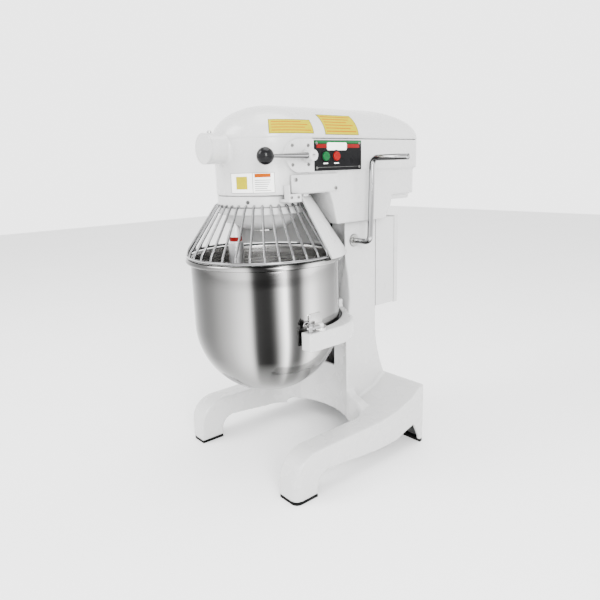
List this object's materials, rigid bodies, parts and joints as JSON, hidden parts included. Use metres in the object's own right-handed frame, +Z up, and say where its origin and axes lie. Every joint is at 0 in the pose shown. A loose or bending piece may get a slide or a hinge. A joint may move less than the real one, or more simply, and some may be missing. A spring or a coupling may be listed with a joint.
{
  "type": "commercial planetary stand mixer",
  "caption": "Floor or bench standing planetary mixer with lifting bowl, swinging wire guard, speed gearbox and flat beater.",
  "frame": {"origin": "centre of the bounding box at floor level", "axes": "+Z up, -Y towards the operator and the attachment hub, +X towards the side with the controls and the lift handle"},
  "size_m": [0.432, 0.565, 0.7718],
  "materials": {
    "base": "gloss enamel on cast iron",
    "column": "gloss enamel on cast iron",
    "foot_soles": "moulded black rubber",
    "slide_ways": "ground and greased",
    "lift_bushes": "ground steel",
    "head_casting": "gloss enamel on cast iron",
    "head_top_cover": "gloss enamel",
    "cover_screws": "zinc plated",
    "electrical_box": "gloss enamel on sheet steel",
    "electrical_cover": "gloss enamel on sheet steel",
    "cable_gland": "moulded nylon",
    "contactor": "moulded plastic",
    "lever_plate": "gloss enamel",
    "control_panel": "printed film on plastic",
    "panel_screws": "zinc plated",
    "switch_blocks": "moulded plastic",
    "hub_cap": "gloss enamel",
    "hub_clamp_screw": "zinc plated",
    "motor": "grey enamel on finned casting",
    "drive_belt": "ribbed V-belt rubber",
    "gearbox_bearings": "polished bearing steel",
    "main_bearings": "polished bearing steel",
    "ring_gear": "machined steel",
    "drip_ring": "turned aluminium",
    "fixed_shield": "enamel on sheet steel",
    "interlock_plate": "enamel on steel plate",
    "selector_guides": "machined steel",
    "guard_ring": "gloss enamel on aluminium",
    "guard_cage": "bright plated wire",
    "guard_catch": "gloss enamel",
    "planetary_carrier": "grey-white enamel on cast iron",
    "main_shaft": "ground steel",
    "crown_wheel": "cut steel",
    "agitator_bearing": "polished bearing steel",
    "agitator_shaft": "turned stainless steel",
    "agitator_collar": "dark red seal",
    "planet_pinion": "cut steel",
    "flat_beater": "burnished cast aluminium",
    "gearbox_shaft": "ground steel",
    "bevel_pinion": "cut steel",
    "gear_cluster": "cut steel",
    "lay_shaft": "ground steel",
    "lay_gears": "cut steel",
    "lay_pulley": "machined",
    "motor_pulley": "machined",
    "selector_fork": "cast bronze",
    "lever_hub": "moulded white plastic",
    "lever_rod": "bright plated",
    "lever_knob": "moulded black phenolic",
    "start_button": "moulded green plastic",
    "stop_button": "moulded red plastic",
    "lift_crank": "bright plated rod",
    "lift_shaft": "ground steel",
    "yoke": "gloss enamel on cast iron",
    "slide_plate": "scraped and greased",
    "lift_rack": "cut steel",
    "bowl": "polished stainless steel",
    "right_clamp": "bright plated steel",
    "left_clamp": "bright plated steel",
    "lift_sector": "cut steel"
  },
  "bodies": {
    "body": {"base": "base", "column": "column", "foot_soles": "foot_soles", "slide_ways": "slide_ways", "lift_bushes": "lift_bushes", "head_casting": "head_casting", "head_top_cover": "head_top_cover", "cover_screws": "cover_screws", "electrical_box": "electrical_box", "electrical_cover": "electrical_cover", "cable_gland": "cable_gland", "contactor": "contactor", "lever_plate": "lever_plate", "control_panel": "control_panel", "panel_screws": "panel_screws", "switch_blocks": "switch_blocks", "hub_cap": "hub_cap", "hub_clamp_screw": "hub_clamp_screw", "motor": "motor", "gearbox_bearings": "gearbox_bearings", "main_bearings": "main_bearings", "ring_gear": "ring_gear", "drip_ring": "drip_ring", "fixed_shield": "fixed_shield", "interlock_plate": "interlock_plate", "selector_guides": "selector_guides", "drive_belt": "drive_belt"},
    "guard": {"guard_ring": "guard_ring", "guard_cage": "guard_cage", "guard_catch": "guard_catch"},
    "planetary": {"planetary_carrier": "planetary_carrier", "main_shaft": "main_shaft", "crown_wheel": "crown_wheel", "agitator_bearing": "agitator_bearing"},
    "agitator": {"agitator_shaft": "agitator_shaft", "agitator_collar": "agitator_collar", "planet_pinion": "planet_pinion", "flat_beater": "flat_beater"},
    "gearbox_drive": {"gearbox_shaft": "gearbox_shaft", "bevel_pinion": "bevel_pinion"},
    "speed_cluster": {"gear_cluster": "gear_cluster"},
    "lay_drive": {"lay_shaft": "lay_shaft", "lay_gears": "lay_gears", "lay_pulley": "lay_pulley"},
    "motor_drive": {"motor_pulley": "motor_pulley"},
    "speed_selector": {"selector_fork": "selector_fork"},
    "speed_lever": {"lever_hub": "lever_hub", "lever_rod": "lever_rod", "lever_knob": "lever_knob"},
    "start": {"start_button": "start_button"},
    "stop": {"stop_button": "stop_button"},
    "lift_handle": {"lift_crank": "lift_crank", "lift_shaft": "lift_shaft", "lift_sector": "lift_sector"},
    "carriage": {"yoke": "yoke", "slide_plate": "slide_plate", "lift_rack": "lift_rack", "bowl": "bowl"},
    "clamp_right": {"right_clamp": "right_clamp"},
    "clamp_left": {"left_clamp": "left_clamp"}
  },
  "joints": [
    {"name": "guard_swing", "type": "hinge", "parent": "body", "child": "guard", "pos_m": [-0.013, -0.115, 0.585], "axis": [0, 0, -1], "range_deg": [0, 100]},
    {"name": "planetary_spin", "type": "hinge", "parent": "body", "child": "planetary", "pos_m": [-0.013, -0.115, 0.56], "axis": [0, 0, 1], "continuous": true},
    {"name": "agitator_spin", "type": "hinge", "parent": "planetary", "child": "agitator", "pos_m": [-0.04453, -0.16605, 0.56], "axis": [0, 0, 1], "continuous": true},
    {"name": "gearbox_spin", "type": "hinge", "parent": "body", "child": "gearbox_drive", "pos_m": [-0.013, -0.115, 0.688], "axis": [0, 1, 0], "continuous": true},
    {"name": "cluster_slide", "type": "slide", "parent": "gearbox_drive", "child": "speed_cluster", "axis": [0, 1, 0], "range_m": [-0.012, 0.012]},
    {"name": "lay_spin", "type": "hinge", "parent": "body", "child": "lay_drive", "pos_m": [-0.061, -0.115, 0.688], "axis": [0, 1, 0], "continuous": true},
    {"name": "motor_spin", "type": "hinge", "parent": "body", "child": "motor_drive", "pos_m": [-0.013, -0.115, 0.628], "axis": [0, 1, 0], "continuous": true},
    {"name": "selector_slide", "type": "slide", "parent": "body", "child": "speed_selector", "axis": [0, 1, 0], "range_m": [-0.012, 0.012]},
    {"name": "speed_lever_tilt", "type": "hinge", "parent": "body", "child": "speed_lever", "pos_m": [-0.013, -0.09, 0.67], "axis": [1, 0, 0], "range_deg": [-28.6, 28.6]},
    {"name": "start_press", "type": "slide", "parent": "body", "child": "start", "axis": [-1, 0, 0], "range_m": [0, 0.003], "stiffness_N_per_m": 800},
    {"name": "stop_press", "type": "slide", "parent": "body", "child": "stop", "axis": [-1, 0, 0], "range_m": [0, 0.003], "stiffness_N_per_m": 800},
    {"name": "bowl_lift", "type": "slide", "parent": "body", "child": "carriage", "axis": [0, 0, 1], "range_m": [-0.082, 0]},
    {"name": "lift_handle_turn", "type": "hinge", "parent": "body", "child": "lift_handle", "pos_m": [-0.013, 0.072, 0.486], "axis": [-1, 0, 0], "range_deg": [0, 105]},
    {"name": "clamp_right_swing", "type": "hinge", "parent": "carriage", "child": "clamp_right", "pos_m": [0.161, -0.142, 0.34], "axis": [0, 0, -1], "range_deg": [0, 100]},
    {"name": "clamp_left_swing", "type": "hinge", "parent": "carriage", "child": "clamp_left", "pos_m": [-0.187, -0.142, 0.34], "axis": [0, 0, 1], "range_deg": [0, 100]}
  ],
  "couplings": [
    {"joint": "agitator_spin", "follows": "planetary_spin", "ratio": -4.3333},
    {"joint": "gearbox_spin", "follows": "planetary_spin", "ratio": 2},
    {"joint": "lay_spin", "follows": "planetary_spin", "ratio": -2},
    {"joint": "motor_spin", "follows": "planetary_spin", "ratio": -3},
    {"joint": "cluster_slide", "follows": "speed_lever_tilt", "m_per_rad": -0.0235},
    {"joint": "selector_slide", "follows": "speed_lever_tilt", "m_per_rad": -0.0235},
    {"joint": "lift_handle_turn", "follows": "bowl_lift", "rad_per_m": -22.222}
  ]
}
